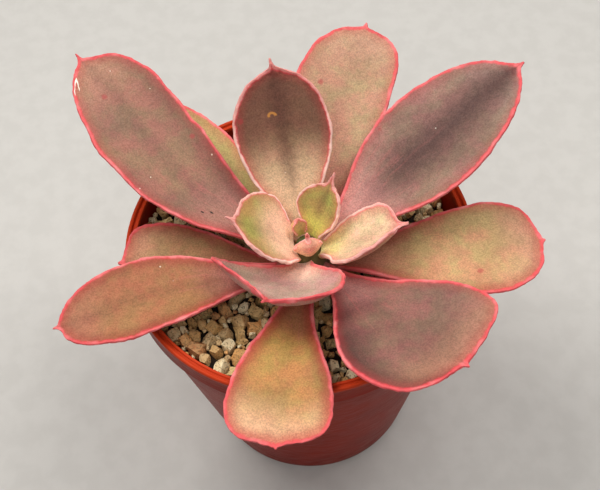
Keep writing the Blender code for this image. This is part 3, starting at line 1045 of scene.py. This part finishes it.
# %% [markdown]
# ## One finish for each leaf
# Sun, age and shade colour the leaves differently: the outer ones are tan and olive, the large ones mauve,
# the tall one behind is nearly brown, and the heart is green with cream. One table gives each leaf what
# differs from the skin's defaults, and another says how strongly the margins wave.
# Two leaves carry marks of their own. A small group draws an open ring or a dot at a place on a leaf, which
# makes a corky scar, a dry scratch and two spots of soil.

# %% Colours, waves and slots
DEEP_CORAL = (0.66, 0.035, 0.05)
CREAM = (1.0, 0.76, 0.66)
YOUNG = {"Crest": CREAM, "Rim": (0.85, 0.17, 0.17)}


def sockets(settings):
    """Settings as a group's sockets take them: names with spaces, and colours with their fourth number."""
    return {name.replace("_", " "): (*value, 1) if isinstance(value, tuple) else value
            for name, value in settings.items()}


def look(flesh, shade, base, tip, **rest):
    """One leaf's skin: four colours, and whatever else differs from the defaults."""
    return sockets({"Flesh": flesh, "Shade": shade, "Base": base, "Tip": tip, **rest})


LOOKS = {
    "lower_leaf_left": look(
        (0.51, 0.28, 0.145), (0.38, 0.19, 0.1), (0.4, 0.18, 0.1), (0.55, 0.27, 0.16), Rim=DEEP_CORAL,
        Edge_shade=0.8),
    "lower_leaf_front_left": look(
        (0.37, 0.155, 0.07), (0.28, 0.1, 0.048), (0.55, 0.22, 0.2), (0.42, 0.17, 0.1), Rim=DEEP_CORAL,
        Streaks=0.3, Edge_shade=0.7),
    "lower_leaf_front": look(
        (0.46, 0.25, 0.08), (0.32, 0.16, 0.06), (0.5, 0.2, 0.115), (0.88, 0.52, 0.33), Blush=0.28,
        Midrib=0.1, Edge_shade=0.9),
    "lower_leaf_front_right": look(
        (0.5, 0.2, 0.09), (0.42, 0.15, 0.07), (0.5, 0.25, 0.2), (0.5, 0.28, 0.2), Rim=DEEP_CORAL),
    "lower_leaf_right": look(
        (0.53, 0.33, 0.17), (0.42, 0.23, 0.12), (0.4, 0.17, 0.115), (0.54, 0.27, 0.18), Midrib=0.15,
        Edge_shade=0.6),
    "lower_leaf_back_left": look(
        (0.47, 0.36, 0.14), (0.4, 0.28, 0.11), (0.4, 0.28, 0.1), (0.5, 0.29, 0.16), Streaks=0.1),
    "main_leaf_back": look(
        (0.48, 0.3, 0.19), (0.38, 0.21, 0.135), (0.44, 0.14, 0.11), (0.56, 0.33, 0.22), Midrib=0.15),
    # Painted shade darkens its right side, where the leaf behind it casts its shadow.
    "main_leaf_back_left": look(
        (0.32, 0.165, 0.115), (0.2, 0.1, 0.08), (0.42, 0.19, 0.16), (0.48, 0.24, 0.16), Streaks=0.4,
        Midrib=0.25, Dim_right=0.5),
    # Its pale pink base is partly painted light, which lifts the shade that inner_leaf_right casts on it.
    "main_leaf_back_right": look(
        (0.34, 0.19, 0.155), (0.18, 0.095, 0.078), (0.68, 0.33, 0.3), (0.28, 0.21, 0.175), Streaks=0.45,
        Midrib=1.0, Blush=0.12, Rib_width=0.95),
    # Painted shade darkens its right side, which bends down away from the light.
    "main_leaf_front_right": look(
        (0.25, 0.125, 0.1), (0.13, 0.055, 0.05), (0.62, 0.27, 0.26), (0.45, 0.21, 0.13), Streaks=0.7,
        Midrib=0.2, Dim_right=0.9),
    "upper_leaf_back": look(
        (0.39, 0.23, 0.14), (0.19, 0.085, 0.06), (0.85, 0.6, 0.38), (0.17, 0.07, 0.047), Crest=CREAM,
        Midrib=0.6, Streaks=0.1, Tip_reach=0.45, Base_reach=0.65, Pale_rim=0.8),
    # Its pale base is partly painted light, which lifts the shade that inner_leaf_left casts on it.
    "upper_leaf_front": look(
        (0.56, 0.37, 0.33), (0.47, 0.29, 0.26), (0.95, 0.62, 0.48), (0.5, 0.3, 0.24),
        Under=(0.5, 0.26, 0.23), Streaks=0.3),
    "inner_leaf_left": look(
        (0.44, 0.36, 0.11), (0.33, 0.24, 0.09), (1.0, 0.62, 0.46), (0.36, 0.2, 0.12),
        Under=(0.75, 0.33, 0.27), Pale_rim=0.85, Base_reach=0.72, **YOUNG),
    "inner_leaf_right": look(
        (0.8, 0.6, 0.4), (0.66, 0.4, 0.3), (0.72, 0.64, 0.25), (0.5, 0.24, 0.2), Under=(0.5, 0.16, 0.13),
        Pale_rim=0.75, **YOUNG),
    "inner_leaf_back": look(
        (0.5, 0.48, 0.13), (0.35, 0.24, 0.11), (0.75, 0.75, 0.17), (0.45, 0.2, 0.14), Midrib=0.5,
        Pale_rim=0.85, **YOUNG),
    "heart_leaf_left": look(
        (0.6, 0.58, 0.2), (0.6, 0.42, 0.2), (0.42, 0.45, 0.09), (0.8, 0.4, 0.3), Freckles=0.0, Pale_rim=0.5,
        **YOUNG),
    "heart_leaf_front": look(
        (0.9, 0.55, 0.42), (0.8, 0.42, 0.32), (0.6, 0.55, 0.16), (0.88, 0.42, 0.35), Freckles=0.0,
        Pale_rim=0.6, **YOUNG),
}
WAVES = {"lower": (0.9, 9.0), "main": (1.2, 10.0), "upper": (1.1, 7.0), "inner": (1.1, 4.5),
         "heart": (0.3, 2.5)}

# %% Marks on two leaves
NICK_INPUTS = {"Along at": 0.5, "Across at": 0.0, "Radius": 1.0, "Line": 0.3, "Open": 1.0}
NICKED_LENGTH = 50.0
NICKED_HALF_WIDTH = 14.0


def build_nick():
    """A small mark at a place on the leaf: an open ring, or a dot where its radius is zero. All in mm."""
    group, given, result = new_group("nick", NICK_INPUTS, ["Mask"])
    ahead = times(group, minus(group, read(group, "along"), given["Along at"]), NICKED_LENGTH)
    aside = times(group, minus(group, read(group, "across"), given["Across at"]), NICKED_HALF_WIDTH)
    out = calc(group, "SQRT", plus(group, times(group, ahead, ahead), times(group, aside, aside)))
    off_line = calc(group, "ABSOLUTE", minus(group, out, given["Radius"]))
    line = ramp(group, calc(group, "DIVIDE", off_line, given["Line"]), 1.0, 0.4)
    half = calc(group, "MAXIMUM", ramp(group, ahead, -0.4, 0.1), minus(group, 1.0, given["Open"]))
    upper_side = minus(group, 1.0, read(group, "under"))
    group.links.new(times(group, times(group, line, half), upper_side), result["Mask"])
    return group


NICK = build_nick()
CORKY_SCAR = (0.55, 0.24, 0.06, 1)
DRY_SCRATCH = (0.92, 0.85, 0.75, 1)
SOIL_SPOT = (0.02, 0.012, 0.01, 1)
NICKS = {
    "upper_leaf_back": [(CORKY_SCAR, dict(Along_at=0.7, Across_at=0.12, Radius=0.8, Line=0.45))],
    "main_leaf_back_left": [
        (DRY_SCRATCH, dict(Along_at=0.9, Across_at=0.8, Radius=1.5, Line=0.35)),
        (SOIL_SPOT, dict(Along_at=0.3, Across_at=0.4, Radius=0.0, Line=0.5, Open=0.0)),
        (SOIL_SPOT, dict(Along_at=0.33, Across_at=0.52, Radius=0.0, Line=0.45, Open=0.0))],
}

FLESHY = {"Specular IOR Level": 0.28, "Subsurface Weight": 0.12, "Subsurface Radius": (1.0, 0.35, 0.2),
          "Subsurface Scale": 1.5 * MM, "Sheen Weight": 0.03, "Sheen Roughness": 0.5}


def build_leaf_finish(node, number):
    material, tree, shader = new_material(node + "_skin")
    skin = use_group(tree, SKIN, {"Shift": float(number), **LOOKS[node]})
    colour = skin.outputs["Colour"]
    for mark_colour, settings in NICKS.get(node, []):
        mask = use_group(tree, NICK, sockets(settings)).outputs["Mask"]
        colour = blend(tree, mask, colour, mark_colour)
    dress(tree, shader, colour, skin.outputs["Roughness"], skin.outputs["Height"], 0.07)
    for label, value in FLESHY.items():
        shader.inputs[label].default_value = value
    return material


# %% Make every leaf
for number, node in enumerate(LEAF_NODES):
    tier = node.split("_")[0]
    leaf, margin = fine_leaf(node)
    found = write_numbers(leaf, margin)
    wave(leaf, found, *WAVES[tier])
    hand_over(leaf, build_leaf_finish(node, number), node)

# %% [markdown]
# ## Floor, light and camera
# The pot stands on a plain pale floor. A photographer would set two large soft lamps high up and a little
# behind, left and right, so that the cupped leaves shade each other and their rims catch the light, and would
# fill the shadows with weaker light from the front and the room.
# The camera looks down at about 55 degrees from in front, through a short portrait lens, and is tipped a few
# degrees to one side.

# %% Floor
select_only()
bpy.ops.mesh.primitive_plane_add(size=8)
floor = bpy.context.object
floor.name = "floor"
paper, tree, shader = new_material("pale_paper")
fibres, _, _ = gritty(tree, 2.0, 0.3)
pale = blend(tree, fibres, (0.56, 0.55, 0.53, 1), (0.59, 0.58, 0.56, 1))
tree.links.new(pale, shader.inputs["Base Color"])
shader.inputs["Roughness"].default_value = 0.9
floor.data.materials.append(paper)

# %% Light
def lamp(name, place_at, size, watts, colour):
    """A square area lamp that faces the plant."""
    light = bpy.data.lights.new(name, "AREA")
    light.energy = watts
    light.size = size
    light.color = colour
    obj = new_object(name, light)
    obj.location = place_at
    aim = Vector((0, 0, POT_TOP)) - Vector(place_at)
    obj.rotation_euler = aim.to_track_quat("-Z", "Y").to_euler()
    return obj


lamp("key_left", (-0.3, 0.2, 0.78), 0.4, 4.2, (1.0, 0.97, 0.92))
lamp("key_right", (0.32, 0.14, 0.78), 0.4, 3.2, (1.0, 0.97, 0.92))
lamp("front_fill", (-0.05, -0.5, 0.85), 0.6, 2.2, (1.0, 0.98, 0.96))
world = bpy.data.worlds.new("room")
bpy.context.scene.world = world
world.use_nodes = True
room = world.node_tree.nodes["Background"]
room.inputs["Color"].default_value = (1.0, 0.98, 0.95, 1)
room.inputs["Strength"].default_value = 0.19

# %% Camera
ELEVATION = math.radians(54.9)
TIP = math.radians(-5.1)
DISTANCE = 315 * MM
camera_data = bpy.data.cameras.new("camera")
camera_data.lens = 60
camera_data.sensor_width = 36
camera_data.shift_x = 0.0025
camera_data.shift_y = -0.0148
camera = new_object("camera", camera_data)
back = Vector((0, -math.cos(ELEVATION), math.sin(ELEVATION)))
facing = (-back).to_track_quat("-Z", "Y").to_matrix() @ Matrix.Rotation(TIP, 3, "Z")
camera.matrix_world = Matrix.Translation(Vector((0, 0, POT_TOP)) + back * DISTANCE) @ facing.to_4x4()
bpy.context.scene.camera = camera
